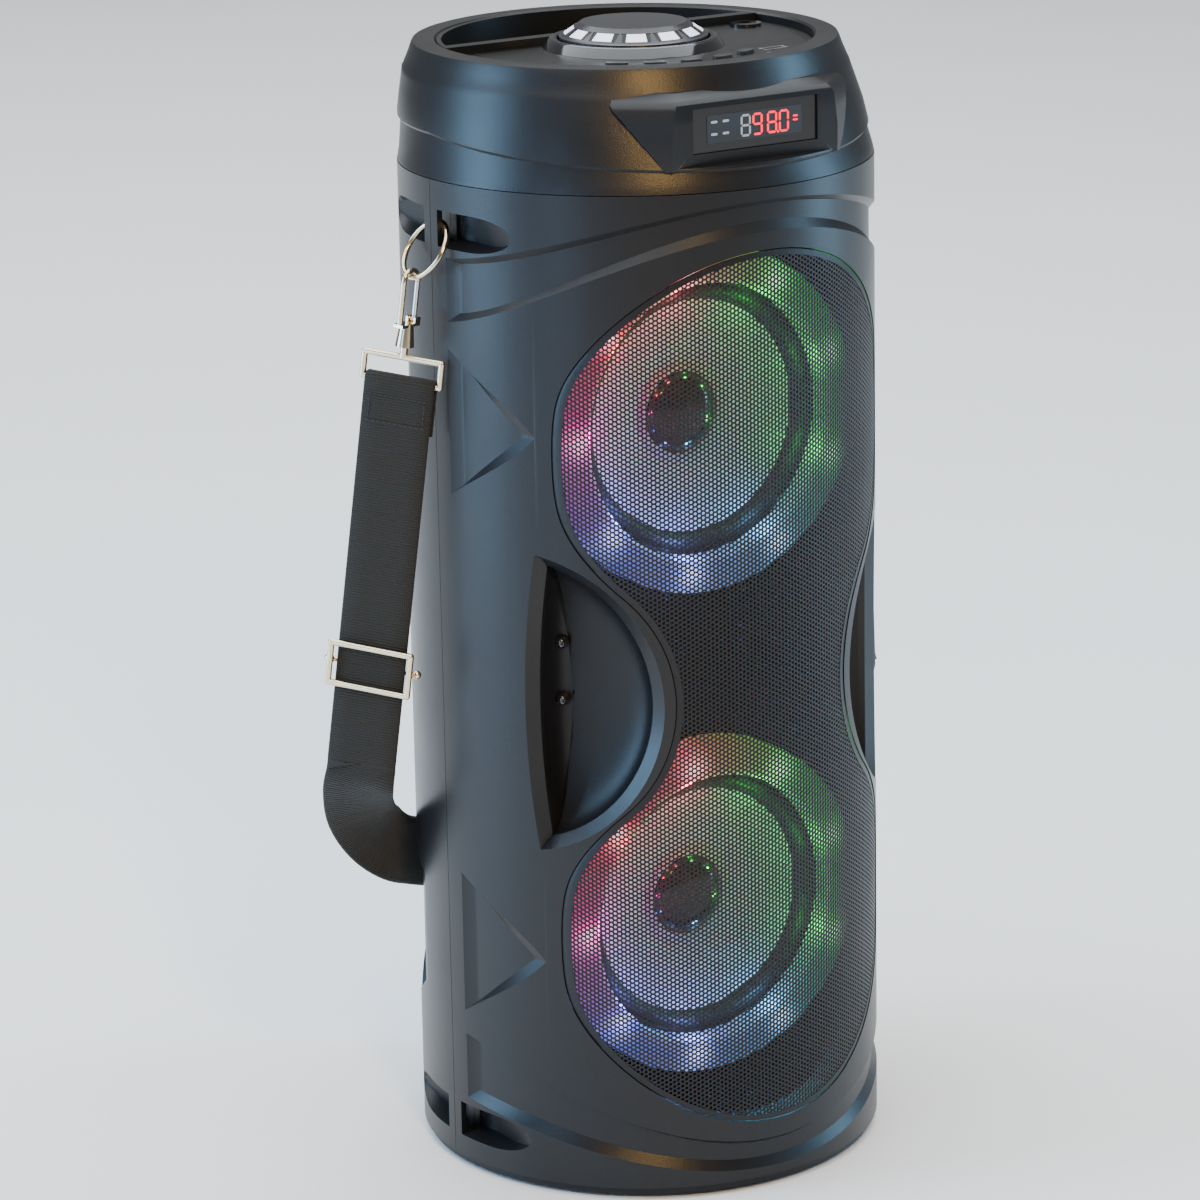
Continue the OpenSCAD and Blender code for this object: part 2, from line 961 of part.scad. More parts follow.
module webbing_back()
    color("#131313") {
        last = len(web_route) - 1;
        route = concat(web_route, [for (i = [1:last]) flip_x(web_route[last - i])]);
        across = concat(web_across, [for (i = [1:last]) flip_x(web_across[last - i])]);
        band(route, across, web_w, web_t);
    }

front_shell();
rear_shell();
top_cap();
base_plate();
rubber_feet();
baffle();
grille();
handle_cup_left();
handle_cup_right();
control_panel();
display_window();
display_board();
upper_basket();
upper_magnet();
upper_cone();
upper_surround();
upper_dust_cap();
upper_voice_coil();
upper_spider();
lower_basket();
lower_magnet();
lower_cone();
lower_surround();
lower_dust_cap();
lower_voice_coil();
lower_spider();
upper_light_ring();
lower_light_ring();
upper_light_board();
lower_light_board();
knob();
knob_light_ring();
control_board();
mode_button();
previous_button();
play_button();
next_button();
light_button();
mic_socket();
usb_socket();
card_socket();
main_board();
battery_pack();
rear_panel();
power_switch();
charge_socket();
port_tube();
assembly_screws();
ring_left();
ring_right();
hook_left();
hook_right();
gate_left();
gate_right();
strap_eye_left();
strap_eye_right();
slider();
webbing_left();
webbing_right();
webbing_back();
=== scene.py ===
import math

import bmesh
import bpy
import numpy as np
from mathutils import Matrix, Vector


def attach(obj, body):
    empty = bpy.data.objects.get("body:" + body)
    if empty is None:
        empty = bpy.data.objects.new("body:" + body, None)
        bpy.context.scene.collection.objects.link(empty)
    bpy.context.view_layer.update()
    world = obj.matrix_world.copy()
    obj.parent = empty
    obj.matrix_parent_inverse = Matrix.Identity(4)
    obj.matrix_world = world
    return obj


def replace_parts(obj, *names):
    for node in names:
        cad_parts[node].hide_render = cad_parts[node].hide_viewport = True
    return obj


# Party speaker. Lengths in this script are millimetres, scaled by MM when a mesh is made.
# Turns are degrees round the cabinet: 0 is the front (-Y), and they grow towards +X.

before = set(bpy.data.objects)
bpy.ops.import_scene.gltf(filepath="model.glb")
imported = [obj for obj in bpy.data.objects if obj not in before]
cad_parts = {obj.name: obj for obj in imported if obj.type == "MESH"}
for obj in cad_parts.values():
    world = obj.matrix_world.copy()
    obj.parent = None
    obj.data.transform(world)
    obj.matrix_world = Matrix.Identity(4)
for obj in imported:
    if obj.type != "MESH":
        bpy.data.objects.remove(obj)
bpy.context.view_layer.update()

MM = 0.001
BODY_R = 125.0
SHELL_TOP = 538.2
SHELL_BOTTOM = 6.2
RELIEF_R = BODY_R - 3.0
UPPER_Z = 406.0
LOWER_Z = 139.0
WAIST_Z = 272.0
PORT_Z = 330.0
PORT_HOLE_R = 28.2
PANEL_Z = 195.0
PANEL_HOLE = (45.3, 35.3)
LED_COUNT = 9


# ---- Camera ----

def make_camera():
    azimuth, elevation, roll = (math.radians(a) for a in (-31.861, 15.556, -1.059))
    back = Vector((math.sin(azimuth) * math.cos(elevation), -math.cos(azimuth) * math.cos(elevation),
                   math.sin(elevation)))
    right = (-back).cross(Vector((0, 0, 1))).normalized()
    up = right.cross(-back)
    x = right * math.cos(roll) + up * math.sin(roll)
    y = up * math.cos(roll) - right * math.sin(roll)
    place = Vector((0, 0, 0.2949)) - right * 0.0229 + back * 2.6022
    data = bpy.data.cameras.new("camera")
    data.lens = 145.26
    camera = bpy.data.objects.new("camera", data)
    camera.matrix_world = Matrix((x, y, back)).transposed().to_4x4()
    camera.matrix_world.translation = place
    bpy.context.collection.objects.link(camera)
    bpy.context.scene.camera = camera


make_camera()


# ---- Materials ----

def shader(name, color, roughness, metallic=0.0, coat=0.0, coat_roughness=0.1, specular=0.5):
    mat = bpy.data.materials.new(name)
    mat.use_nodes = True
    bsdf = mat.node_tree.nodes["Principled BSDF"]
    bsdf.inputs["Base Color"].default_value = (*color, 1)
    bsdf.inputs["Roughness"].default_value = roughness
    bsdf.inputs["Metallic"].default_value = metallic
    bsdf.inputs["Coat Weight"].default_value = coat
    bsdf.inputs["Coat Roughness"].default_value = coat_roughness
    bsdf.inputs["Specular IOR Level"].default_value = specular
    return mat, mat.node_tree.nodes, mat.node_tree.links, bsdf


def noise(nodes, links, scale, detail=3.0, stretch=(1, 1, 1)):
    place = nodes.new("ShaderNodeTexCoord")
    mapping = nodes.new("ShaderNodeMapping")
    mapping.inputs["Scale"].default_value = stretch
    tex = nodes.new("ShaderNodeTexNoise")
    tex.inputs["Scale"].default_value = scale
    tex.inputs["Detail"].default_value = detail
    links.new(place.outputs["Object"], mapping.inputs["Vector"])
    links.new(mapping.outputs["Vector"], tex.inputs["Vector"])
    return tex.outputs["Fac"]


def spread(nodes, links, value, low, high):
    part = nodes.new("ShaderNodeMapRange")
    part.inputs["From Min"].default_value = 0.3
    part.inputs["From Max"].default_value = 0.7
    part.inputs["To Min"].default_value = low
    part.inputs["To Max"].default_value = high
    links.new(value, part.inputs["Value"])
    return part.outputs["Result"]


def tint(nodes, links, value, dark, light):
    mix = nodes.new("ShaderNodeMix")
    mix.data_type = "RGBA"
    mix.inputs["A"].default_value = (*dark, 1)
    mix.inputs["B"].default_value = (*light, 1)
    links.new(value, mix.inputs["Factor"])
    return mix.outputs["Result"]


def bump(nodes, links, height, bsdf, strength, distance):
    node = nodes.new("ShaderNodeBump")
    node.inputs["Strength"].default_value = strength
    node.inputs["Distance"].default_value = distance
    links.new(height, node.inputs["Height"])
    links.new(node.outputs["Normal"], bsdf.inputs["Normal"])


def plastic(name, color, roughness, grain=0.35, coat=0.0, specular=0.5):
    """Moulded plastic: a fine spark-eroded grain, and slow changes of gloss."""
    mat, nodes, links, bsdf = shader(name, color, roughness, coat=coat, specular=specular)
    fine = noise(nodes, links, 1500, 2)
    slow = noise(nodes, links, 14, 4)
    links.new(spread(nodes, links, slow, roughness - 0.04, roughness + 0.05), bsdf.inputs["Roughness"])
    light = tuple(c * 1.25 for c in color)
    links.new(tint(nodes, links, fine, color, light), bsdf.inputs["Base Color"])
    bump(nodes, links, fine, bsdf, grain, 0.00025)
    return mat


def metal(name, color, roughness, scratch=0.15):
    """Plated or bare metal with faint rubbing marks."""
    mat, nodes, links, bsdf = shader(name, color, roughness, metallic=1.0)
    marks = noise(nodes, links, 260, 5, (1, 1, 0.2))
    links.new(spread(nodes, links, marks, roughness * 0.7, roughness * 1.5), bsdf.inputs["Roughness"])
    dark = tuple(c * 0.82 for c in color)
    links.new(tint(nodes, links, noise(nodes, links, 60, 4), dark, color), bsdf.inputs["Base Color"])
    bump(nodes, links, marks, bsdf, scratch, 0.0001)
    return mat


def rubber(name, color, roughness=0.55):
    mat, nodes, links, bsdf = shader(name, color, roughness, specular=0.4)
    fine = noise(nodes, links, 700, 4)
    links.new(spread(nodes, links, fine, roughness - 0.06, roughness + 0.08), bsdf.inputs["Roughness"])
    links.new(tint(nodes, links, fine, color, tuple(c * 1.4 for c in color)), bsdf.inputs["Base Color"])
    bump(nodes, links, fine, bsdf, 0.2, 0.0002)
    return mat


def circuit_board(name, color):
    mat, nodes, links, bsdf = shader(name, color, 0.45, coat=0.3)
    cells = nodes.new("ShaderNodeTexVoronoi")
    cells.inputs["Scale"].default_value = 160
    links.new(tint(nodes, links, cells.outputs["Distance"], color, tuple(c * 1.8 for c in color)),
              bsdf.inputs["Base Color"])
    bump(nodes, links, cells.outputs["Distance"], bsdf, 0.2, 0.0003)
    return mat


def glow(name, color, strength, base=(0.8, 0.8, 0.8)):
    """A lit part: a milky surface that shines evenly with a slight mottle."""
    mat, nodes, links, bsdf = shader(name, base, 0.35)
    slow = noise(nodes, links, 180, 2)
    links.new(tint(nodes, links, slow, tuple(c * 0.8 for c in color), color), bsdf.inputs["Emission Color"])
    bsdf.inputs["Emission Strength"].default_value = strength
    return mat


def math_node(nodes, links, operation, first, second=None):
    node = nodes.new("ShaderNodeMath")
    node.operation = operation
    for socket, value in zip(node.inputs, (first, second)):
        if value is None:
            continue
        if isinstance(value, (int, float)):
            socket.default_value = value
        else:
            links.new(value, socket)
    return node.outputs["Value"]


# Colour of each light, counter-clockwise from 20 degrees above the right-hand side.
LED_COLOURS = [(0.01, 0.80, 0.05), (0.01, 0.90, 0.06), (0.95, 0.10, 0.14),
               (1.0, 0.02, 0.04), (0.90, 0.03, 0.45), (0.16, 0.20, 1.0),
               (0.20, 0.30, 1.0), (0.10, 0.45, 0.85), (0.01, 0.85, 0.06)]


def light_ring_material(name, centre_z, strength):
    """Light guide in front of the ring of lights: colour by angle, brightest over each light."""
    mat, nodes, links, bsdf = shader(name, (0.16, 0.17, 0.20), 0.3)
    place = nodes.new("ShaderNodeTexCoord")
    split = nodes.new("ShaderNodeSeparateXYZ")
    links.new(place.outputs["Object"], split.inputs["Vector"])
    x = split.outputs["X"]
    z = math_node(nodes, links, "SUBTRACT", split.outputs["Z"], centre_z * MM)
    angle = math_node(nodes, links, "ARCTAN2", z, x)
    fraction = math_node(nodes, links, "ADD", math_node(nodes, links, "DIVIDE", angle, 2 * math.pi), 1.0)
    fraction = math_node(nodes, links, "FRACT", fraction)
    ramp = nodes.new("ShaderNodeValToRGB")
    stops = ramp.color_ramp.elements
    stops[0].position = 0.0
    stops[0].color = (*LED_COLOURS[0], 1)
    stops[1].position = 1.0
    stops[1].color = (*LED_COLOURS[0], 1)
    for i, colour in enumerate(LED_COLOURS):
        stop = stops.new((20 + 40 * i) / 360)
        stop.color = (*colour, 1)
    links.new(fraction, ramp.inputs["Fac"])
    wave = math_node(nodes, links, "COSINE", math_node(
        nodes, links, "MULTIPLY", math_node(nodes, links, "SUBTRACT", angle, math.radians(20)), LED_COUNT))
    wave = math_node(nodes, links, "MULTIPLY_ADD", wave, 0.5)
    wave.node.inputs[2].default_value = 0.5
    across = math_node(nodes, links, "MULTIPLY", x, x)
    upright = math_node(nodes, links, "MULTIPLY", z, z)
    radius = math_node(nodes, links, "SQRT", math_node(nodes, links, "ADD", across, upright))
    off = math_node(nodes, links, "ABSOLUTE", math_node(nodes, links, "SUBTRACT", radius, 0.081))
    middle = math_node(nodes, links, "SUBTRACT", 1.0, math_node(nodes, links, "MULTIPLY", off, 70))
    middle = math_node(nodes, links, "MAXIMUM", middle, 0.0)
    peak = math_node(nodes, links, "MULTIPLY", math_node(nodes, links, "POWER", wave, 4), middle)
    pale = nodes.new("ShaderNodeMix")
    pale.data_type = "RGBA"
    pale.inputs["B"].default_value = (0.95, 0.98, 1.0, 1)
    links.new(math_node(nodes, links, "MULTIPLY", math_node(nodes, links, "POWER", peak, 2), 0.4),
              pale.inputs["Factor"])
    links.new(ramp.outputs["Color"], pale.inputs["A"])
    links.new(pale.outputs["Result"], bsdf.inputs["Emission Color"])
    level = math_node(nodes, links, "MULTIPLY_ADD", peak, strength * 1.5)
    level.node.inputs[2].default_value = strength * 0.32
    links.new(level, bsdf.inputs["Emission Strength"])
    return mat


def webbing_material(name, color):
    """Ribbed woven webbing: fine weft ridges across it, a soft sheen, and painted shade that keeps the grooves
    darker than the ridge crests.
    """
    mat, nodes, links, bsdf = shader(name, color, 0.75, specular=0.3)
    bsdf.inputs["Sheen Weight"].default_value = 0.1
    bsdf.inputs["Sheen Roughness"].default_value = 0.4
    coords = nodes.new("ShaderNodeUVMap")
    coords.uv_map = "run"
    split = nodes.new("ShaderNodeSeparateXYZ")
    links.new(coords.outputs["UV"], split.inputs["Vector"])
    weft = math_node(nodes, links, "SINE", math_node(nodes, links, "MULTIPLY", split.outputs["Y"],
                                                     2 * math.pi / 1.5))
    warp = math_node(nodes, links, "SINE", math_node(nodes, links, "MULTIPLY", split.outputs["X"],
                                                     2 * math.pi / 1.1))
    weave = math_node(nodes, links, "ADD", weft, math_node(nodes, links, "MULTIPLY", warp, 0.35))
    fluff = noise(nodes, links, 900, 3)
    height = math_node(nodes, links, "ADD", weave, math_node(nodes, links, "MULTIPLY", fluff, 0.8))
    # painted highlight and shade: the colour follows the weave's height, lighter on the ridge crests and
    # darker in the grooves between them
    ridge_light_and_groove_shade = math_node(nodes, links, "MULTIPLY_ADD", weave, 0.3)
    ridge_light_and_groove_shade.node.inputs[2].default_value = 0.5
    links.new(tint(nodes, links, ridge_light_and_groove_shade, color, tuple(c * 2.6 for c in color)), bsdf.inputs["Base Color"])
    bump(nodes, links, height, bsdf, 0.6, 0.0004)
    return mat


SHELL = plastic("shell_plastic", (0.006, 0.0065, 0.008), 0.33, specular=0.34)
CAP = plastic("cap_plastic", (0.007, 0.007, 0.008), 0.33, specular=0.36)
DARK = plastic("dark_plastic", (0.004, 0.004, 0.005), 0.42, specular=0.3)
PANEL = plastic("panel_plastic", (0.007, 0.007, 0.007), 0.32, specular=0.36)
GLOSS = plastic("gloss_black", (0.008, 0.008, 0.010), 0.10, grain=0.02, coat=0.6)
BUTTON = plastic("button_plastic", (0.024, 0.024, 0.027), 0.32, grain=0.1)
GRILLE = plastic("grille_paint", (0.007, 0.007, 0.009), 0.40, grain=0.2, specular=0.3)
CONE = plastic("cone_silver", (0.36, 0.38, 0.42), 0.34, grain=0.15, coat=0.3)
CAP_DOME = plastic("dust_cap_gloss", (0.020, 0.021, 0.024), 0.12, grain=0.03, coat=0.8)
KNOB = plastic("knob_plastic", (0.020, 0.020, 0.024), 0.26, grain=0.12)
RUBBER = rubber("rubber_black", (0.012, 0.012, 0.013))
GOLD = metal("champagne_gold", (0.83, 0.68, 0.46), 0.16)
SILVER = metal("gate_steel", (0.72, 0.72, 0.74), 0.22)
STEEL = metal("socket_steel", (0.60, 0.61, 0.63), 0.28)
IRON = metal("magnet_iron", (0.20, 0.20, 0.22), 0.5)
COPPER = metal("coil_copper", (0.80, 0.40, 0.18), 0.3)
BOARD = circuit_board("circuit_board", (0.02, 0.10, 0.04))
LED_BOARD = circuit_board("led_board", (0.6, 0.62, 0.66))
CLOTH = rubber("spider_cloth", (0.35, 0.26, 0.11), 0.8)
WEBBING = webbing_material("webbing_weave", (0.0075, 0.0068, 0.0055))
WINDOWS = glow("knob_windows", (0.62, 0.64, 1.0), 1.1)
DIGITS = glow("display_digits", (1.0, 0.02, 0.05), 2.6, (0.2, 0.0, 0.0))
UNLIT = plastic("display_unlit", (0.022, 0.028, 0.036), 0.4, specular=0.3)
UPPER_GLOW = light_ring_material("upper_light_guide", UPPER_Z, 1.7)
LOWER_GLOW = light_ring_material("lower_light_guide", LOWER_Z, 1.7)


def finish_node(node, mat):
    """Gives a carried-over CAD node its material."""
    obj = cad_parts[node]
    for place in obj.material_slots:
        place.link = "OBJECT"
        place.material = mat


# ---- Mesh helpers ----

def make_piece(name, verts, faces, mat, body="cabinet", slot="shell_plastic", sharp=28):
    mesh = bpy.data.meshes.new(name)
    mesh.from_pydata([tuple(c * MM for c in v) for v in verts], [], faces)
    tidy = bmesh.new()
    tidy.from_mesh(mesh)
    bmesh.ops.remove_doubles(tidy, verts=tidy.verts, dist=1e-6)
    bmesh.ops.recalc_face_normals(tidy, faces=tidy.faces)
    tidy.to_mesh(mesh)
    tidy.free()
    obj = bpy.data.objects.new(name, mesh)
    bpy.context.collection.objects.link(obj)
    if mat:
        mesh.materials.append(mat)
    smooth(obj, sharp)
    if body:
        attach(obj, body)
    return obj


def smooth(obj, sharp):
    obj.data.shade_smooth()
    obj.data.set_sharp_from_angle(angle=math.radians(sharp))


def loft(rows, caps=True):
    """Vertices and faces through closed rows of points."""
    n = len(rows[0])
    verts = [p for row in rows for p in row]
    faces = []
    for i in range(len(rows) - 1):
        for k in range(n):
            j = (k + 1) % n
            faces.append((i * n + k, i * n + j, (i + 1) * n + j, (i + 1) * n + k))
    if caps:
        faces.append(tuple(reversed(range(n))))
        faces.append(tuple(range((len(rows) - 1) * n, len(rows) * n)))
    return verts, faces


def lathe(profile, place, steps=144):
    """Turns a closed profile of (radius, height) into a solid; place(r, turn, h) gives each point."""
    rows = [[place(r, 360 * i / steps, h) for r, h in profile] for i in range(steps)]
    rows.append(rows[0])
    return loft(rows, caps=False)


def on_cabinet(r, turn, z):
    a = math.radians(turn)
    return (r * math.sin(a), -r * math.cos(a), z)


def on_driver(z):
    """Places a lathe's points about a driver's axis, with its height towards the front."""
    def place(r, turn, h):
        a = math.radians(turn)
        return (r * math.cos(a), -h, z + r * math.sin(a))
    return place


def combine(obj, tool, operation="DIFFERENCE"):
    """Cuts the tool out of the piece, or adds it, and removes the tool."""
    change = obj.modifiers.new("combine", "BOOLEAN")
    change.operation = operation
    change.solver = "MANIFOLD"
    change.object = tool
    graph = bpy.context.evaluated_depsgraph_get()
    shaped = bpy.data.meshes.new_from_object(obj.evaluated_get(graph))
    obj.modifiers.clear()
    obj.data = shaped
    bpy.data.objects.remove(tool)


def mirrored(verts):
    return [(-x, y, z) for x, y, z in verts]


def spans(first, last, step):
    """Evenly spaced values from first to last, about step apart."""
    n = max(2, round(abs(last - first) / step) + 1)
    return [first + (last - first) * i / (n - 1) for i in range(n)]


# ---- Cabinet shells ----

def wall_block(name, first, last):
    """A thick half shell between two turns."""
    inner_r = 107.0
    rows = [[on_cabinet(inner_r, t, SHELL_BOTTOM), on_cabinet(BODY_R, t, SHELL_BOTTOM),
             on_cabinet(BODY_R, t, SHELL_TOP), on_cabinet(inner_r, t, SHELL_TOP)]
            for t in spans(first, last, 1.0)]
    return make_piece(name, *loft(rows), SHELL)


def relief_tool(turns, low, high, low_slope=4.0, high_slope=4.0, start=1.0, end=1.0, tip=False):
    """A cutter for a shallow relief: a floor between two heights, and walls that slope outwards."""
    outer_r = BODY_R + 1.5
    grow = (outer_r - RELIEF_R) / (BODY_R - RELIEF_R)
    rows = []
    for i, turn in enumerate(turns):
        k = i / (len(turns) - 1)
        out_turn = turn - start * grow * (1 - k) + end * grow * k
        ease = 1 - k ** 5 if tip else 1
        rows.append([on_cabinet(RELIEF_R, turn, low(turn)), on_cabinet(RELIEF_R, turn, high(turn)),
                     on_cabinet(outer_r, out_turn, high(turn) + high_slope * grow * ease),
                     on_cabinet(outer_r, out_turn, low(turn) - low_slope * grow * ease)])
    return loft(rows)


def side(turn):
    """Distance to the side of a turn on the cabinet's surface."""
    return BODY_R * math.sin(math.radians(turn))


def arc(middle, radius, turn, way):
    return middle + way * math.sqrt(radius ** 2 - side(turn) ** 2)


def arched_band(low, high, way):
    """A relief across the front between two arcs, each given by its middle's height and its radius."""
    return relief_tool(spans(-80.7, 80.7, 1.2), lambda t: arc(*low, t, way), lambda t: arc(*high, t, way),
                       low_slope=5.0, high_slope=2.4, start=3.0, end=3.0)


def cut(obj, shape, both=True):
    """Cuts a shape out of the piece, and its mirror image too unless it is central."""
    verts, faces = shape
    combine(obj, make_piece("tool", verts, faces, None, body=None))
    if both:
        combine(obj, make_piece("tool", mirrored(verts), faces, None, body=None))


def wedge_relief(top, tip, bottom, seam, point):
    """The wedge beside the parting line, which narrows to a rounded tip."""
    def part(turn):
        return (turn - seam) / (point - seam)
    return relief_tool(spans(seam, point, 1.0),
                       lambda t: bottom + (tip - 0.5 - bottom) * part(t),
                       lambda t: top + (tip + 0.5 - top) * part(t),
                       low_slope=5.2, high_slope=5.2, start=3.0, end=3.4, tip=True)


def rear_recess(lift):
    """The five-sided relief behind the parting line."""
    def edge(heights):
        return lambda t: lift + float(np.interp(-BODY_R * math.cos(math.radians(t)), (38, 72, 108), heights))
    return relief_tool(spans(-107.8, -149.5, 1.0), edge((92, 78, 129.5)), edge((150, 160, 130.5)),
                       start=-2.5, end=-2.0, tip=True)


def pocket_tool(low, high, near, far):
    """A scooped strap pocket: deep and square beside the bar, shallow and round at its far end."""
    rows = []
    middle, half = (low + high) / 2, (high - low) / 2
    for t in spans(near, far, 1.0):
        k = (t - near) / (far - near)
        reach = half * math.sqrt(max(0.0, 1 - max(0.0, (k - 0.45) / 0.55) ** 2.2)) + 0.15
        floor = 112.2 + 12.6 * max(0.0, (k - 0.25) / 0.75) ** 1.7
        levels = ((floor, 0.72), ((floor + 3 * BODY_R) / 4, 0.97), (BODY_R + 1.5, 1.03))
        rows.append([on_cabinet(r, t, middle + reach * share) for r, share in levels]
                    + [on_cabinet(r, t, middle - reach * share) for r, share in reversed(levels)])
    return loft(rows)


def bar_tool(low, high):
    """The passage behind the bar between two pockets."""
    rows = [[(-121.6, y, low), (-121.6, y, high), (-113.0, y, high), (-113.0, y, low)] for y in (-8, 8)]
    return loft(rows)


def hourglass(grow):
    """Outline of the grille in front view, counter-clockwise from its right-hand waist."""
    lobe_r, lobe_z, flat = 104.0 + grow, 130.0, 101.0 + grow
    waist_r, waist_x = 84.5 - grow, 136.5
    quarter = []
    meet = min(range(1, 900), key=lambda i: abs(math.hypot(
        waist_x - waist_r * math.cos(math.radians(i / 10)),
        waist_r * math.sin(math.radians(i / 10)) - lobe_z) - lobe_r)) / 10
    for a in spans(0, meet, 2.5):
        quarter.append((waist_x - waist_r * math.cos(math.radians(a)), waist_r * math.sin(math.radians(a))))
    start = math.degrees(math.atan2(quarter[-1][1] - lobe_z, quarter[-1][0]))
    for a in spans(start, 90, 2.0):
        reach = lobe_r * math.cos(math.radians(a))
        reach = -3.0 * math.log(math.exp(-reach / 3.0) + math.exp(-flat / 3.0)) + (0.6 if a > 60 else 0)
        quarter.append((reach, lobe_z + lobe_r * math.sin(math.radians(a))))
    right = [(x, -z) for x, z in reversed(quarter[1:])] + quarter
    left = [(-x, z) for x, z in reversed(right[1:-1])]
    return [(x, WAIST_Z + z) for x, z in right + left]


def grille_tool():
    outline = hourglass(0.6)
    return loft([[(x, y, z) for x, z in outline] for y in (-140, -35)])


HANDLE_TURN = -45.0


def handle_outline():
    """The D of a handle recess as (distance round the surface from its middle, height)."""
    left_u, radius, middle_u = -29.4, 80.2, -42.6
    bow, half = 7.0, 79.0
    top = math.degrees(math.acos((left_u - middle_u) / radius))
    points = [(middle_u + radius * math.cos(math.radians(a)), radius * math.sin(math.radians(a)))
              for a in spans(-top, top, 4)]
    points += [(left_u - bow * (1 - (z / half) ** 2), z) for z in spans(half, -half, 8)[1:-1]]
    return points


def grown(outline, amount):
    """The outline moved outwards by an amount, with its corners kept."""
    n = len(outline)
    out = []
    for i in range(n):
        a, b = Vector(outline[i - 1]), Vector(outline[(i + 1) % n])
        along = (b - a).normalized()
        out.append((outline[i][0] + along.y * amount, outline[i][1] - along.x * amount))
    return out


def on_handle(r, u, z):
    return on_cabinet(r, HANDLE_TURN + math.degrees(u / BODY_R), 271 + z)


def handle_tool():
    outline = handle_outline()
    rows = [[on_handle(r, u, z) for u, z in grown(outline, g)]
            for r, g in ((100, -5.5), (119.2, -5.5), (BODY_R, 0.4), (BODY_R + 10, 10.4))]
    return loft(rows)


def handle_cup(name, flip):
    """The deep concave pocket behind a handle opening, deepest beside its straight edge."""
    outline = grown(handle_outline(), -5.4)
    deepest = (-20.0, 0.0)
    rows = []
    for k in spans(0, 1, 0.08):
        share = math.cos(k * math.pi / 2) ** 0.8 if k < 1 else 0.02
        r = 119.4 - 19.9 * math.sin(k * math.pi / 2) ** 0.9
        rows.append([on_handle(r, deepest[0] + (u - deepest[0]) * share, z * share) for u, z in outline])
    back = [[(p[0] * 0.985, p[1] * 0.985, p[2]) for p in row] for row in reversed(rows)]
    verts, faces = loft(rows + back, caps=False)
    n, last = len(outline), (len(rows) * 2 - 1) * len(outline)
    faces += [(k, (k + 1) % n, last + (k + 1) % n, last + k) for k in range(n)]
    obj = make_piece(name, mirrored(verts) if flip else verts, faces, DARK, slot="pocket_plastic", sharp=40)
    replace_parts(obj, "handle_cup_right" if flip else "handle_cup_left")
    return obj


def screw_heads(name, places, mat):
    """Domed screw heads with a cross slot, each facing out of the cabinet."""
    verts, faces = [], []
    for r, turn, z, size in places:
        profile = [(0, 1.0), (0.45, 1.0), (0.62, 0.9), (0.85, 0.6), (1.0, 0.1), (1.0, -0.5), (0, -0.5)]
        out = Vector(on_cabinet(1, turn, 0))
        across = Vector((0, 0, 1)).cross(out)

        def place(q, a, h):
            a = math.radians(a)
            dent = 0.35 if h > 0.95 and q > 0 and min(a % (math.pi / 2), -a % (math.pi / 2)) < 0.3 else 0
            spot = out * (r + (h - dent) * size) + across * (q * size * math.cos(a))
            return (spot.x, spot.y, z + q * size * math.sin(a))
        v, f = lathe(profile, place, 48)
        faces += [tuple(i + len(verts) for i in face) for face in f]
        verts += v
    return make_piece(name, verts, faces, mat, slot="screw_steel", sharp=35)


def panel_hole():
    half_w, half_h = PANEL_HOLE
    corners = [(-half_w, -half_h), (half_w, -half_h), (half_w, half_h), (-half_w, half_h)]
    return loft([[(x, y, PANEL_Z + z) for x, z in corners] for y in (80, 140)])


def soften(obj, width, segments, angle):
    """Rounds the piece's sharp edges; the width is in millimetres."""
    smooth(obj, 24)
    edge = obj.modifiers.new("soft_edges", "BEVEL")
    edge.width = width * MM
    edge.segments = segments
    edge.limit_method = "ANGLE"
    edge.angle_limit = math.radians(angle)
    edge.harden_normals = True


def make_cabinet():
    front = wall_block("front_cabinet", -89.92, 89.92)
    rear = wall_block("rear_cabinet", 90.08, 269.92)
    cut(front, grille_tool(), both=False)
    cut(front, handle_tool())
    cut(front, arched_band((344, 177), (280, 249.5), 1), both=False)
    cut(front, arched_band((286.5, 270), (201.5, 176.5), -1), both=False)
    for top, tip, bottom in ((447, 412, 380), (163, 130, 96)):
        cut(front, wedge_relief(top, tip, bottom, -81.0, -61.5))
    for lift in (0, 283):
        cut(rear, rear_recess(lift))
    for low, high in ((504.5, 523), (18, 36.5)):
        cut(front, pocket_tool(low, high, -87.0, -63.0))
        cut(rear, pocket_tool(low, high, -93.0, -117.0))
        for shell in (front, rear):
            cut(shell, bar_tool(low, high))
    port = lathe([(0, -140), (PORT_HOLE_R, -140), (PORT_HOLE_R, -90), (0, -90)], on_driver(PORT_Z), 72)
    cut(rear, port, both=False)
    cut(rear, panel_hole(), both=False)
    for shell, node in ((front, "front_shell"), (rear, "rear_shell")):
        soften(shell, 0.6, 2, 26)
        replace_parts(shell, node)
    handle_cup("handle_pocket_left", False)
    handle_cup("handle_pocket_right", True)
    screw_heads("handle_screws", [(103.5, s * 56.5, z, 3.6) for s in (-1, 1) for z in (299, 268)], GLOSS)
    finish_node("base_plate", DARK)
    finish_node("rubber_feet", RUBBER)
    finish_node("baffle", DARK)
    finish_node("rear_panel", DARK)
    finish_node("power_switch", BUTTON)
    finish_node("charge_socket", DARK)
    finish_node("port_tube", DARK)
    finish_node("assembly_screws", STEEL)
    finish_node("main_board", BOARD)
    finish_node("battery_pack", RUBBER)


# ---- Head ----

# Profile of the head: height, how far its centre sits back, radius.
HEAD = [(538.6, 0.0, 124.8), (545.0, 0.4, 124.5), (549.0, 1.0, 124.1), (557.0, 2.8, 122.9),
        (565.0, 4.5, 121.9), (575.0, 6.5, 119.5), (583.0, 8.0, 117.5), (585.4, 8.5, 117.0),
        (586.6, 8.5, 116.3), (593.0, 8.5, 113.6), (597.4, 8.5, 112.0), (598.9, 8.5, 111.2),
        (599.3, 8.5, 110.0), (599.3, 8.5, 107.0)]


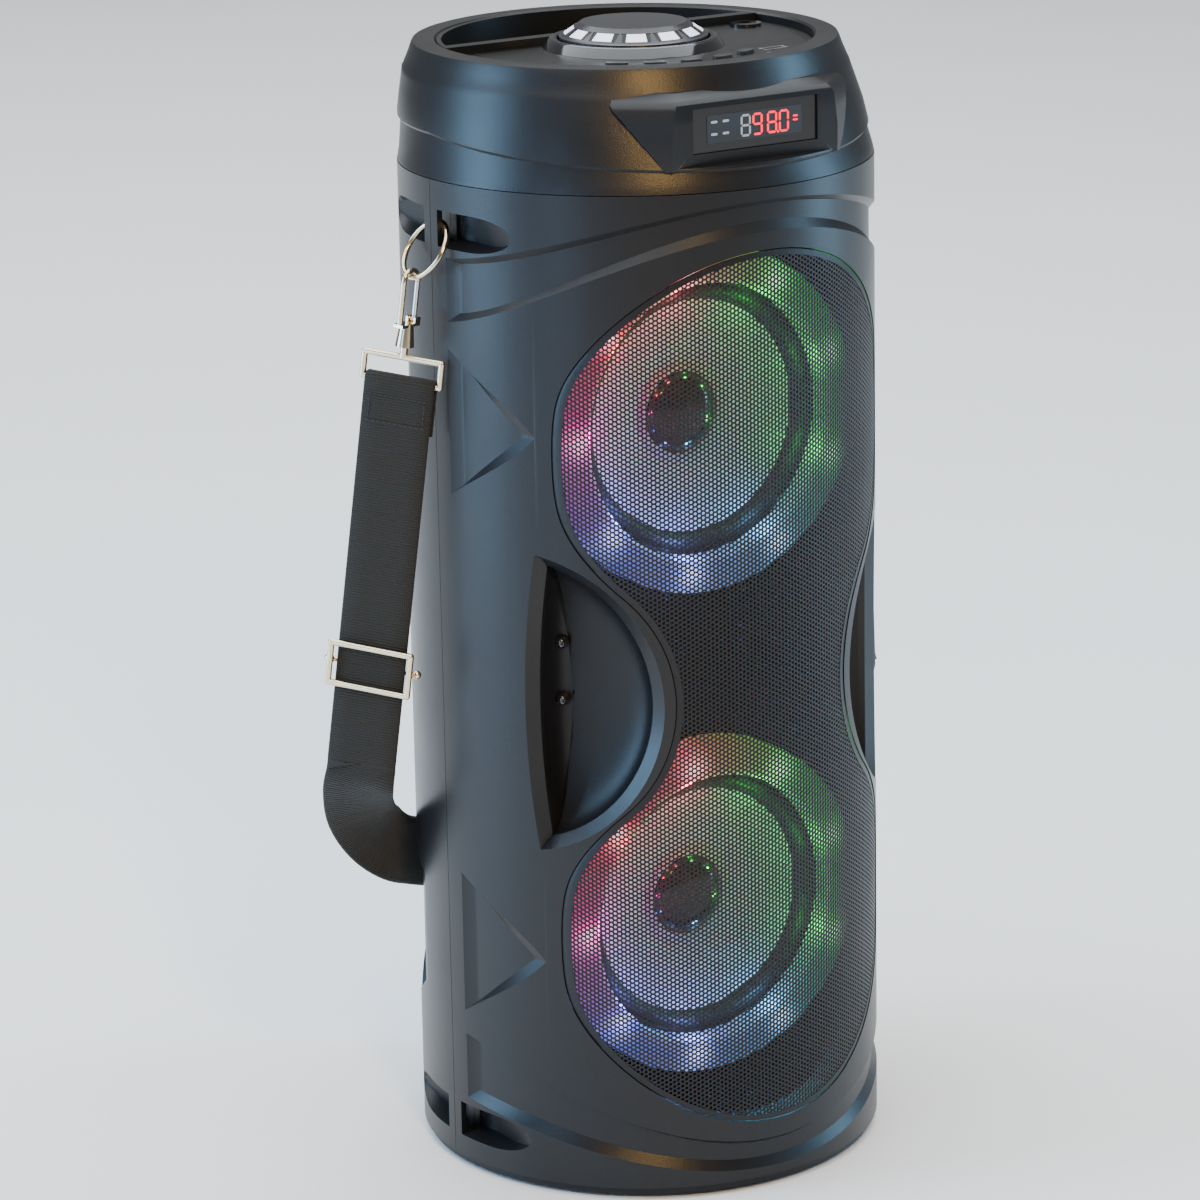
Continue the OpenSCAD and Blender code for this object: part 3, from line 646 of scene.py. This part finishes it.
def head_at(z):
    heights = [row[0] for row in HEAD]
    return [float(np.interp(z, heights, [row[i] for row in HEAD])) for i in (1, 2)]


def set_back(distance):
    """Places a lathe's points about an upright axis that sits behind the cabinet's."""
    def place(r, turn, h):
        a = math.radians(turn)
        return (r * math.cos(a), distance + r * math.sin(a), h)
    return place


def crease(turn):
    """Height of the crease that smiles round the head's foot."""
    c = math.cos(math.radians(turn))
    return 549.0 + 12.0 * min(1.0, 1 - c)


def make_head():
    turns = spans(0, 360, 2)[:-1]
    rows = []
    heights = [538.6, 541, 544] + ["under", "over"] + [row[0] for row in HEAD[4:]]
    for z in heights:
        row = []
        for t in turns:
            inset = 0.0
            if z == "under":
                height, inset = crease(t) - 1.2, 1.7
            elif z == "over":
                height = crease(t) + 0.5
            else:
                height = z
                inset = {541: 0.3, 544: 0.9}.get(z, 0.0)
            back, radius = head_at(height)
            if len(rows) == len(heights) - 1:
                radius = HEAD[-1][2]
            x, y, _ = on_cabinet(radius - inset, t, 0)
            row.append((x, y + back, height))
        rows.append(row)
    head = make_piece("head", *loft(rows), CAP, slot="cap_plastic")
    pod_rows = []
    for z, half, front, wide, depth in ((549.5, 50, -113.2, 53, -111), (556, 50, -113.5, 57, -108),
                                        (564, 50, -113.5, 62, -103), (572, 49, -113.5, 66.5, -97.5),
                                        (580, 48, -113.4, 71, -91), (582.4, 47, -112.5, 71, -89),
                                        (584.4, 45.5, -110.5, 69, -87), (587.4, 42, -104.5, 60, -85)):
        pod_rows.append([(-half, front, z), (-half * 0.5, front, z), (0, front, z), (half * 0.5, front, z),
                         (half, front, z), (wide, depth, z), (50, -60, z), (-50, -60, z), (-wide, depth, z)])
    combine(head, make_piece("tool", *loft(pod_rows), None, body=None), "UNION")
    shelf = loft([[(-92, -170, z), (92, -170, z), (92, -113.5 + lean, z), (-92, -113.5 + lean, z)]
                  for z, lean in ((551, 0), (582.0, 0))])
    combine(head, make_piece("tool", *shelf, None, body=None))
    window = loft([[(-w, y, z) for w, z in ((37.7, 557.0), (-37.7, 557.0), (-37.7, 580.0), (37.7, 580.0))]
                   for y in (-130, -106)])
    combine(head, make_piece("tool", *window, None, body=None))
    deck = lathe([(0, 560), (98.8, 560), (98.8, 598.2), (100.2, 599.6), (100.2, 620), (0, 620)],
                 set_back(8.5), 180)
    combine(head, make_piece("tool", *deck, None, body=None))
    hollow = lathe([(0, 530), (108, 530), (108, 549), (98, 566), (0, 566)], set_back(2.0), 90)
    combine(head, make_piece("tool", *hollow, None, body=None))
    soften(head, 0.9, 3, 24)
    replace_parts(head, "top_cap")


# Seven-segment figures: which strokes are lit, from the top one clockwise, then the middle one.
FIGURES = {"9": "abcdfg", "8": "abcdefg", "0": "abcdef", " ": ""}


def stroke(x, z, across, length, width, y):
    """One stroke of a lit figure: a bar with pointed ends."""
    half, w = length / 2, width / 2
    shape = [(-half, 0), (-half + w, -w), (half - w, -w), (half, 0), (half - w, w), (-half + w, w)]
    flat = shape if across else [(b, a) for a, b in shape]
    rows = [[(x + a, y + d, z + b) for a, b in flat] for d in (0, 0.25)]
    return loft(rows)


def make_display():
    window = loft([[(s * w, y, z) for s, w, z in ((-1, 37.4, 557.3), (1, 37.4, 557.3), (1, 37.4, 579.7),
                                                   (-1, 37.4, 579.7))] for y in (-112.2, -110.4)])
    glass = make_piece("display_glass", *window, GLOSS, slot="window_glass")
    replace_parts(glass, "display_window")
    screen = loft([[(-28.6, y, 561.4), (28.6, y, 561.4), (28.6, y, 575.8), (-28.6, y, 575.8)]
                   for y in (-112.5, -112.1)])
    make_piece("display_screen", *screen, UNLIT, slot="window_glass")
    lit, dim = ([], []), ([], [])
    tall, wide, thick, y = 10.2, 5.0, 1.15, -112.8

    def add(store, shape):
        verts, faces = shape
        store[1].extend(tuple(i + len(store[0]) for i in face) for face in faces)
        store[0].extend(verts)
    for x, figure in ((-5.5, " "), (1.6, "9"), (10.4, "8"), (17.6, "0")):
        z = 568.6
        strokes = {"a": (x, z + tall / 2, True), "b": (x + wide / 2, z + tall / 4, False),
                   "c": (x + wide / 2, z - tall / 4, False), "d": (x, z - tall / 2, True),
                   "e": (x - wide / 2, z - tall / 4, False), "f": (x - wide / 2, z + tall / 4, False),
                   "g": (x, z, True)}
        for key, (sx, sz, across) in strokes.items():
            on = key in FIGURES[figure]
            length = (wide if across else tall / 2) - 0.5
            if on or figure == " ":
                add(lit if on else dim, stroke(sx, sz, across, length, thick, y + (0 if on else 0.12)))
    add(lit, stroke(14.0, 563.4, True, 1.6, 1.4, y))
    add(lit, stroke(24.6, 568.4, True, 3.2, 1.0, y))
    add(lit, stroke(24.6, 570.4, True, 3.2, 1.0, y))
    for row_z in (572.2, 566.0):
        for x in (-24.5, -17.5):
            add(dim, stroke(x, row_z, True, 4.2, 1.3, y + 0.12))
    make_piece("display_figures", *lit, DIGITS, slot="window_glass")
    make_piece("display_signs", *dim, plastic("display_signs", (0.30, 0.32, 0.36), 0.5), slot="window_glass")
    finish_node("display_board", BOARD)


def knob_windows():
    """Lit windows on the knob's bevel, each in a wider dark frame."""
    def patch(turn, half, low, high, lift):
        # the bevel falls 6 mm over 9 mm of radius
        rows = []
        for k in spans(-half, half, half / 4):
            a = math.radians(turn) + k / 34
            row = []
            for share, deep in ((low, 0.6), (low, -lift), (high, -lift), (high, 0.6)):
                r = 37.6 - 8.5 * share - deep * 0.55
                z = 600.8 + 5.7 * share - deep * 0.8
                row.append((r * math.cos(a), r * math.sin(a), z))
            rows.append(row)
        return loft(rows)
    for name, size, lift, mat in (("knob_window_frames", (7.4, 0.03, 0.97), -0.15, DARK),
                                  ("knob_windows_lit", (5.2, 0.16, 0.74), 0.12, WINDOWS)):
        verts, faces = [], []
        for turn in range(0, 360, 30):
            v, f = patch(turn, *size, lift)
            faces += [tuple(i + len(verts) for i in face) for face in f]
            verts += v
        piece = make_piece(name, verts, faces, mat, "knob", "knob_windows")
        if mat is DARK:
            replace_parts(piece, "knob_light_ring")


def make_controls():
    finish_node("control_panel", PANEL)
    finish_node("control_board", BOARD)
    finish_node("mic_socket", GLOSS)
    finish_node("usb_socket", STEEL)
    finish_node("card_socket", STEEL)
    for node in ("mode_button", "previous_button", "play_button", "next_button", "light_button"):
        finish_node(node, BUTTON)
    finish_node("knob", KNOB)
    knob_windows()
    collar = lathe([(40.4, 593.6), (47.4, 593.6), (47.5, 594.6), (44.6, 598.6), (43.2, 599.6), (41.8, 599.8),
                    (40.8, 599.3), (40.4, 598.2)], lambda r, t, h: on_cabinet(r, t, h), 180)
    make_piece("knob_collar", *collar, GLOSS, slot="panel_plastic", sharp=40)
    for name, radius, first, last in (("deck_groove_left", 84.0, -118, -62),
                                      ("deck_groove_right", 90.5, 30, 86)):
        rows = []
        for t in spans(first, last, 2):
            x, y, _ = on_cabinet(radius, t, 0)
            out = Vector((x, y, 0)).normalized()
            rows.append([(x + out.x * a, y + out.y * a, 594.5 + h)
                         for a, h in ((-0.8, 0), (-0.4, 0.5), (0.4, 0.5), (0.8, 0))])
        make_piece(name, *loft(rows), PANEL, slot="panel_plastic", sharp=60)


# ---- Grille ----

def make_grille():
    """A perforated sheet bent round the front, with hexagonally packed holes and a plain edge."""
    pitch, hole_r, sheet_r, back_r = 2.47, 0.92, 124.7, 123.9
    column = pitch * math.sqrt(3) / 2
    outline = np.array(hourglass(-1.6))
    angles = np.radians(np.arange(6) * 60)
    cell = np.stack([np.cos(angles), np.sin(angles)], 1) * pitch / math.sqrt(3)
    hole = np.stack([np.cos(angles), np.sin(angles)], 1) * hole_r

    def inside(x, z):
        hit = np.zeros(len(x), bool)
        xs, zs = outline[:, 0], outline[:, 1]
        for i in range(len(outline)):
            j = i - 1
            crosses = (zs[i] > z) != (zs[j] > z)
            with np.errstate(divide="ignore", invalid="ignore"):
                at = (xs[j] - xs[i]) * (z - zs[i]) / (zs[j] - zs[i]) + xs[i]
            hit ^= crosses & (x < at)
        return hit

    across = int(118 / column)
    i, j = np.meshgrid(np.arange(-across, across + 1), np.arange(-100, 101))
    u = (i * column).ravel()
    z = (WAIST_Z + j * pitch + (i % 2) * pitch / 2).ravel()
    keep = inside(BODY_R * np.sin(u / BODY_R), z)
    u, z = u[keep], z[keep]
    rings = [(cell, sheet_r), (hole, sheet_r), (hole, back_r)]
    points = []
    for shape, radius in rings:
        pu = (u[:, None] + shape[None, :, 0]) / BODY_R
        pz = z[:, None] + shape[None, :, 1]
        points.append(np.stack([radius * np.sin(pu), -radius * np.cos(pu), pz], -1))
    verts = np.stack(points, 1).reshape(-1, 3) * MM
    base = (np.arange(len(u)) * 18)[:, None, None]
    k = np.arange(6)
    quads = np.stack([k, (k + 1) % 6, (k + 1) % 6 + 6, k + 6], 1)
    faces = np.concatenate([quads, quads + 6], 0)[None] + base
    faces = faces.reshape(-1, 4)
    mesh = bpy.data.meshes.new("grille_sheet")
    mesh.vertices.add(len(verts))
    mesh.vertices.foreach_set("co", verts.ravel())
    mesh.loops.add(faces.size)
    mesh.loops.foreach_set("vertex_index", faces.ravel().astype(np.int32))
    mesh.polygons.add(len(faces))
    mesh.polygons.foreach_set("loop_start", np.arange(0, faces.size, 4, dtype=np.int32))
    mesh.update(calc_edges=True)
    mesh.validate()
    mesh.materials.append(GRILLE)
    sheet = bpy.data.objects.new("grille_sheet", mesh)
    bpy.context.collection.objects.link(sheet)
    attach(sheet, "cabinet")
    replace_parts(sheet, "grille")
    outer, inner = hourglass(-0.1), hourglass(-3.0)

    def bent(x, z, r):
        return (x, -math.sqrt(max(r * r - x * x, 0)), z)
    rows = [[bent(x, z, r) for (x, z), r in ((a, 123.6), (a, 124.6), (b, 124.9), (b, 123.8))]
            for a, b in zip(outer + outer[:1], inner + inner[:1])]
    edge = make_piece("grille_edge", *loft(rows, caps=False), GRILLE, slot="grille_steel", sharp=50)
    return sheet, edge


# ---- Drivers ----

def make_driver(which, z, guide):
    place = on_driver(z)
    moving = which + "_cone_body"
    cone = lathe([(21.5, 37.9), (30, 40.6), (44, 45.0), (56, 48.7), (61.0, 50.6), (61.8, 50.9), (61.8, 49.9),
                  (56, 47.6), (44, 43.9), (30, 39.5), (21.5, 36.8)], place)
    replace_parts(make_piece(which + "_speaker_cone", *cone, CONE, moving, "cone_silver", 40), which + "_cone")
    dome = [(22.6, 38.6), (22.4, 40.0), (21.0, 40.9)] + [
        (20.6 * math.cos(math.radians(a)), 40.6 + 6.4 * math.sin(math.radians(a))) for a in spans(6, 90, 7)]
    dome += [(0, 44.6), (14, 41.5), (20.6, 38.4)]
    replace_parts(make_piece(which + "_dome", *lathe(dome, place), CAP_DOME, moving, "dust_cap_gloss", 50),
                which + "_dust_cap")
    trim = lathe([(21.4, 39.6), (22.6, 41.4), (24.2, 41.3), (25.0, 39.4)], place)
    make_piece(which + "_dome_trim", *trim, CONE, moving, "cone_silver", 60)
    roll = [(62.1, 49.3), (62.1, 50.6)]
    roll += [(67 - 4.4 * math.cos(math.radians(a)), 51.4 + 5.2 * math.sin(math.radians(a)))
             for a in spans(0, 180, 12)]
    roll += [(71.9, 51.2), (71.9, 50.2)]
    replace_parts(make_piece(which + "_roll", *lathe(roll, place), RUBBER, slot="surround_rubber", sharp=60),
                which + "_surround")
    ring = lathe([(73, 56.4), (73, 66.0), (73.8, 68.4), (76, 69.8), (81, 70.3), (87, 69.8), (90.6, 68.0),
                  (92, 65.0), (92, 50.4), (90, 50.4), (90, 56.4)], place)
    lit = make_piece(which + "_light_guide", *ring, guide, slot="diffuser", sharp=50)
    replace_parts(lit, which + "_light_ring")
    finish_node(which + "_basket", GRILLE)
    finish_node(which + "_magnet", IRON)
    finish_node(which + "_voice_coil", COPPER)
    finish_node(which + "_spider", CLOTH)
    finish_node(which + "_light_board", LED_BOARD)


# ---- Strap ----

HOOK_AT = Vector((-137.5, 0, 486.15))
HOOK_TURN = Matrix.Rotation(math.radians(-48.6), 3, "Z") @ Matrix.Rotation(math.radians(7.3), 3, "Y") \
    @ Matrix.Rotation(math.radians(-0.7), 3, "X")


def hanging(x, y, z):
    return tuple(HOOK_AT + HOOK_TURN @ Vector((x, y, z)))


def ribbon(name, centres, sides, faces_out, node, length, width=38.0, thick=1.9):
    """A webbing ribbon along a route, thin at its woven edges, with its run in millimetres as its map."""
    rows, run, total = [], [], 0.0
    for i, (c, s, f) in enumerate(zip(centres, sides, faces_out)):
        if i:
            total += (Vector(c) - Vector(centres[i - 1])).length
        run.append(total)
        row = []
        for a, h in ((-0.5, 0), (-0.47, 0.5), (-0.25, 0.5), (0, 0.5), (0.25, 0.5), (0.47, 0.5), (0.5, 0),
                     (0.47, -0.5), (0.25, -0.5), (0, -0.5), (-0.25, -0.5), (-0.47, -0.5)):
            row.append(tuple(Vector(c) + Vector(s) * a * width + Vector(f) * h * thick))
        rows.append(row)
    verts, faces = loft(rows)
    mesh = bpy.data.meshes.new(name)
    mesh.from_pydata([tuple(v * MM for v in p) for p in verts], [], faces)
    uv = mesh.uv_layers.new(name="run")
    over = (0, 1.1, 9.5, 19, 28.5, 36.9, 38, 36.9, 28.5, 19, 9.5, 1.1)
    for loop in mesh.loops:
        uv.data[loop.index].uv = (over[loop.vertex_index % 12], run[loop.vertex_index // 12])
    mesh.materials.append(WEBBING)
    obj = bpy.data.objects.new(name, mesh)
    bpy.context.collection.objects.link(obj)
    smooth(obj, 45)
    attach(obj, "strap")
    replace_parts(obj, node)
    return obj


def frames_along(centres, across):
    ahead = [(Vector(centres[min(i + 1, len(centres) - 1)]) - Vector(centres[max(i - 1, 0)])).normalized()
             for i in range(len(centres))]
    sides = [(Vector(a) - t * Vector(a).dot(t)).normalized() for a, t in zip(across, ahead)]
    return sides, [t.cross(s) for t, s in zip(ahead, sides)]


def side_webbing(name, node, flip):
    """Down one side: a loop round the eye's lower bar, its stitched tail behind, then straight on."""
    points = [(0, 2.8, z) for z in spans(-80, -54, 4)]
    points += [(0, 2.8 * math.cos(math.radians(a)), -53 + 2.8 * math.sin(math.radians(a)))
               for a in spans(12, 168, 26)]
    points += [(0, -2.8, z) for z in spans(-54, -262, 8)]
    centres = [hanging(*p) for p in points]
    sides, outs = frames_along(centres, [HOOK_TURN @ Vector((1, 0, 0))] * len(centres))
    if flip:
        centres = mirrored(centres)
        sides = [Vector((-s.x, s.y, s.z)) for s in sides]
        outs = [Vector((-o.x, o.y, o.z)) for o in outs]
    return ribbon(name, centres, sides, outs, node, 300)


def stitches(name, flip):
    """A box of stitches through both layers, just below the eye."""
    verts, faces = [], []
    spots = [(x, -85 + dz, True) for x in spans(-15, 15, 3.0) for dz in (10, 24)]
    spots += [(x, z, False) for x in (-15, 15) for z in spans(-72, -64, 3.0)]
    for x, z, level in spots:
        size = (1.0, 0.35) if level else (0.35, 1.0)
        corners = [(x + a * size[0], z + b * size[1]) for a, b in ((-1, -1), (1, -1), (1, 1), (-1, 1))]
        box = loft([[hanging(u, y, v) for u, v in corners] for y in (-4.05, -3.6)])
        faces += [tuple(i + len(verts) for i in face) for face in box[1]]
        verts += box[0]
    return make_piece(name, mirrored(verts) if flip else verts, faces, RUBBER, "strap", "webbing_black")


# Route of the webbing behind the cabinet, as in the part's source, from the left side to the middle.
BACK_ROUTE = [(-164, 21.1, 225.4), (-164.2, 23, 217), (-161, 31, 206), (-151, 45, 189), (-134, 60, 171),
              (-114, 76, 156), (-90, 99, 143), (-62, 119, 131), (-32, 131, 123), (0, 135, 120)]
BACK_ACROSS = [(0.656, -0.744, -0.127), (0.656, -0.744, -0.08), (0.65, -0.7, 0.1), (0.6, -0.5, 0.4),
               (0.5, -0.2, 0.7), (0.35, 0, 0.9), (0.2, 0, 1), (0.1, 0, 1), (0.05, 0, 1), (0, 0, 1)]


def smoothed(points, steps):
    """A Catmull-Rom curve through the points."""
    points = [Vector(p) for p in points]
    out = []
    for i in range(len(points) - 1):
        a, b, c, d = (points[min(max(k, 0), len(points) - 1)] for k in (i - 1, i, i + 1, i + 2))
        for j in range(steps):
            t = j / steps
            out.append(0.5 * (2 * b + (c - a) * t + (2 * a - 5 * b + 4 * c - d) * t ** 2
                              + (3 * b - a - 3 * c + d) * t ** 3))
    return out + [points[-1]]


def make_strap():
    for flip, tag in ((False, "left"), (True, "right")):
        web = side_webbing("side_webbing_" + tag, "webbing_" + tag, flip)
        stitches("stitching_" + tag, flip)
        finish_node("ring_" + tag, GOLD)
        finish_node("hook_" + tag, GOLD)
        finish_node("gate_" + tag, SILVER)
        finish_node("strap_eye_" + tag, GOLD)
    finish_node("slider", GOLD)
    half = [hanging(0, -2.8, -261.5)] + BACK_ROUTE
    turns = [tuple(HOOK_TURN @ Vector((1, 0, 0)))] + BACK_ACROSS
    route = half + [(-x, y, z) for x, y, z in reversed(half[:-1])]
    across = turns + [(-x, y, z) for x, y, z in reversed(turns[:-1])]
    centres = smoothed(route, 5)
    sides, outs = frames_along(centres, smoothed(across, 5))
    ribbon("back_webbing", centres, sides, outs, "webbing_back", 600)


make_cabinet()
make_head()
make_display()
make_controls()
make_grille()
make_driver("upper", UPPER_Z, UPPER_GLOW)
make_driver("lower", LOWER_Z, LOWER_GLOW)
make_strap()


# ---- Floor and light ----

def make_stage():
    mat, nodes, links, bsdf = shader("floor_paint", (0.86, 0.86, 0.86), 0.6)
    links.new(tint(nodes, links, noise(nodes, links, 3, 2), (0.84, 0.84, 0.84), (0.88, 0.88, 0.88)),
              bsdf.inputs["Base Color"])
    floor = make_piece("floor", [(-9000, -9000, 0), (9000, -9000, 0), (9000, 9000, 0), (-9000, 9000, 0)],
                       [(0, 1, 2, 3)], mat, body=None)


def softbox(name, place, aim, size, power, color):
    data = bpy.data.lights.new(name, "AREA")
    data.shape = "RECTANGLE"
    data.size, data.size_y = size
    data.energy = power
    data.color = color
    lamp = bpy.data.objects.new(name, data)
    lamp.location = place
    lamp.rotation_euler = (Vector(aim) - Vector(place)).to_track_quat("-Z", "Y").to_euler()
    bpy.context.collection.objects.link(lamp)


def make_lights():
    softbox("left_soft", (-2.4, 0.9, 0.9), (0, 0, 0.3), (1.0, 2.2), 95, (0.36, 0.66, 1.0))
    softbox("left_front", (-2.3, -0.9, 0.7), (0, 0, 0.25), (0.5, 1.4), 12, (0.36, 0.62, 1.0))
    softbox("right_soft", (2.0, -0.9, 0.8), (0, 0, 0.3), (0.4, 1.8), 44, (0.36, 0.68, 1.0))
    softbox("front_warm", (-0.75, -2.0, 1.9), (0, 0, 0.5), (0.4, 0.7), 42, (1.0, 0.60, 0.20))
    softbox("top_soft", (0.0, 1.2, 3.6), (0, 1.2, 0.0), (6.0, 6.0), 420, (0.90, 0.96, 1.0))
    world = bpy.data.worlds.new("studio")
    bpy.context.scene.world = world
    world.use_nodes = True
    world.node_tree.nodes["Background"].inputs["Color"].default_value = (1.0, 1.0, 1.0, 1)
    world.node_tree.nodes["Background"].inputs["Strength"].default_value = 0.2


def make_led_lights():
    """One small lamp for each light behind the rings, which colours the cones."""
    for which, centre in (("upper", UPPER_Z), ("lower", LOWER_Z)):
        for i, colour in enumerate(LED_COLOURS):
            data = bpy.data.lights.new(f"{which}_led_{i}", "POINT")
            data.energy = 0.07
            data.color = colour
            data.shadow_soft_size = 0.004
            lamp = bpy.data.objects.new(data.name, data)
            lamp.location = [c * MM for c in on_driver(centre)(66.0, 20 + 40 * i, 66.0)]
            bpy.context.collection.objects.link(lamp)


make_stage()
make_lights()
make_led_lights()
